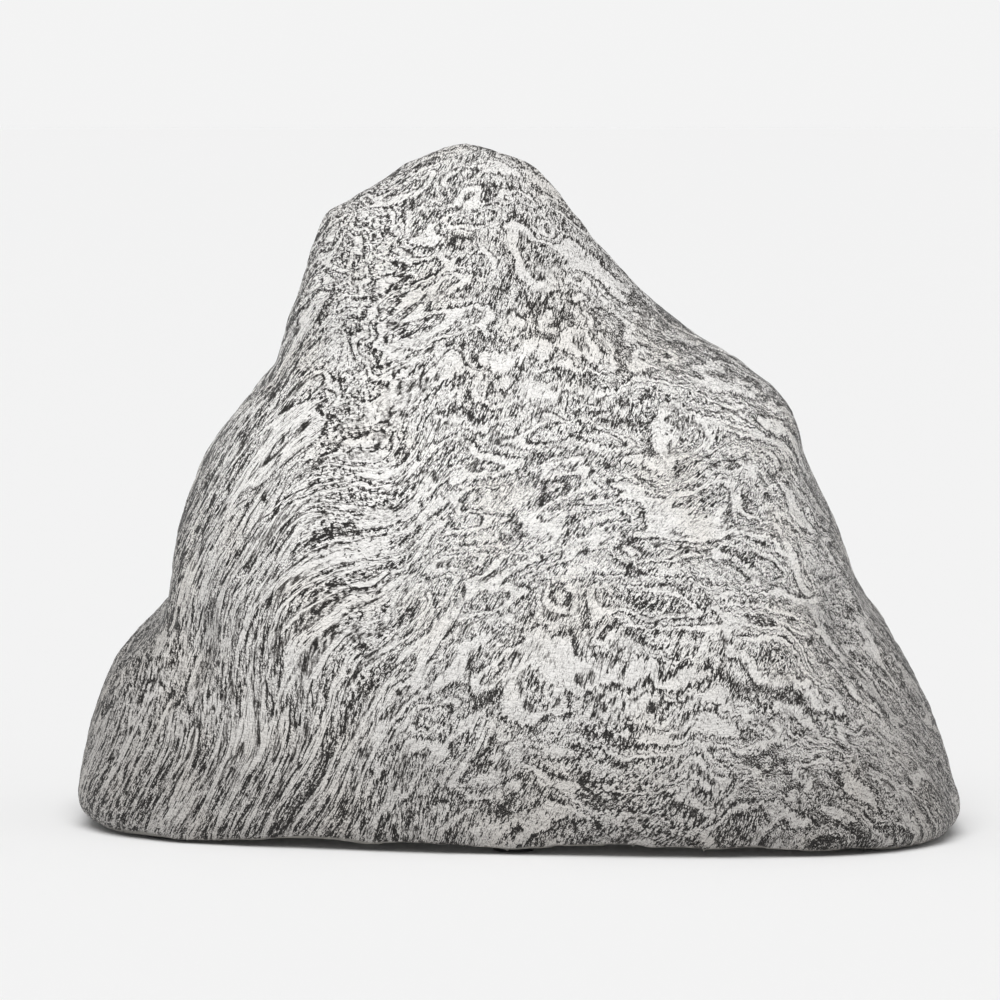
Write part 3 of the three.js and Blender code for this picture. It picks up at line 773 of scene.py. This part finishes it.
def bush_profile():
    """A tube with sealing ribs and a flange with a rolled lip round its bore."""
    bore, (tube, _) = BUSH_BORE_MM, BUSH_TUBE_MM
    flange, under, top = BUSH_FLANGE_MM
    return [
        (bore, -BUSH_LENGTH_MM, 0.3),
        (tube, -BUSH_LENGTH_MM, 0.3),
        *bush_ribs(),
        (tube, under, 0.2),
        (flange, under, 0.3),
        (flange, (under + top) / 2 + 0.2, 0.5),
        (flange - 1.2, top - 0.15, 0.3),
        (bore + 2.2, top - 0.5, 0.3),
        (bore + 1.4, top, 0.3),
        (bore + 0.5, top, 0.3),
        (bore, top - 0.6, 0.3),
    ]


def feet(material):
    for node in sorted(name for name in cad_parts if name.startswith("foot_pad_")):
        number = int(node.rsplit("_", 1)[1])
        low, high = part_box(node)
        middle = (low + high) / 2 / MM
        place = Matrix.Translation((middle.x, middle.y, 0.0)) @ Matrix.Rotation(number, 4, "Z")
        turned("foot_%d" % number, foot_profile(), False, place, material, node)


def vent_bush(material):
    axis = Vector((0, math.cos(VENT_RISE), math.sin(VENT_RISE)))
    across = Vector((0, -math.sin(VENT_RISE), math.cos(VENT_RISE)))
    spots = [v.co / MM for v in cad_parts["vent_bush"].data.vertices]
    top = max(spot.dot(axis) for spot in spots)
    levels = [spot.dot(across) for spot in spots]
    ends = [spot.x for spot in spots]
    end = Vector(((max(ends) + min(ends)) / 2, 0, 0))
    middle = axis * (top - BUSH_FLANGE_MM[2]) + across * (max(levels) + min(levels)) / 2 + end
    place = Matrix.Translation(middle) @ Matrix.Rotation(VENT_RISE - math.pi / 2, 4, "X")
    turned("bush", bush_profile(), True, place, material, "vent_bush")


# ---- Setting the stage -------------------------------------------------------------------------


def camera():
    back = Vector((0, -math.cos(CAMERA_ELEVATION), math.sin(CAMERA_ELEVATION)))
    data = bpy.data.cameras.new("camera")
    data.lens = CAMERA_LENS_MM
    data.sensor_width = CAMERA_SENSOR_MM
    data.clip_end = CAMERA_REACH
    made = bpy.data.objects.new("camera", data)
    made.location = CAMERA_TARGET + back * CAMERA_DISTANCE
    made.rotation_euler = (-back).to_track_quat("-Z", "Y").to_euler()
    bpy.context.scene.collection.objects.link(made)
    bpy.context.scene.camera = made


def floor():
    mesh = bpy.data.meshes.new("floor")
    corners = [(-1, -1, 0), (1, -1, 0), (1, 1, 0), (-1, 1, 0)]
    mesh.from_pydata([Vector(corner) * FLOOR_REACH for corner in corners], [], [(0, 1, 2, 3)])
    s = Shading("floor_paper", Roughness=FLOOR_ROUGHNESS, Base_Color=FLOOR_COLOUR)
    mesh.materials.append(s.material)
    made = bpy.data.objects.new("floor", mesh)
    bpy.context.scene.collection.objects.link(made)


def key_light():
    data = bpy.data.lights.new("key", "SUN")
    data.energy = KEY_STRENGTH
    data.angle = KEY_SOFTNESS
    made = bpy.data.objects.new("key", data)
    made.rotation_euler = KEY_TURN
    bpy.context.scene.collection.objects.link(made)


def studio_sky():
    """A dim dome with a bright band along the horizon, which the far floor fades into."""
    world = bpy.data.worlds.new("studio")
    world.use_nodes = True
    nodes, links = world.node_tree.nodes, world.node_tree.links
    spot = nodes.new("ShaderNodeTexCoord")
    parts = nodes.new("ShaderNodeSeparateXYZ")
    ramp = nodes.new("ShaderNodeMapRange")
    ramp.interpolation_type = "SMOOTHSTEP"
    for socket, value in zip(ramp.inputs[1:5], (*SKY_BAND, SKY_BAND_STRENGTH, SKY_STRENGTH)):
        socket.default_value = value
    links.new(spot.outputs["Generated"], parts.inputs[0])
    links.new(parts.outputs[2], ramp.inputs[0])
    links.new(ramp.outputs[0], nodes["Background"].inputs["Strength"])
    nodes["Background"].inputs["Color"].default_value = SKY_COLOUR
    bpy.context.scene.world = world


bpy.context.scene.view_settings.view_transform = "Standard"
camera()
bare_resin, black_silicone = raw_resin(), silicone()
rock(bare_resin)
rim_ring(bare_resin)
ballast(cement())
feet(black_silicone)
vent_bush(black_silicone)
floor()
key_light()
studio_sky()
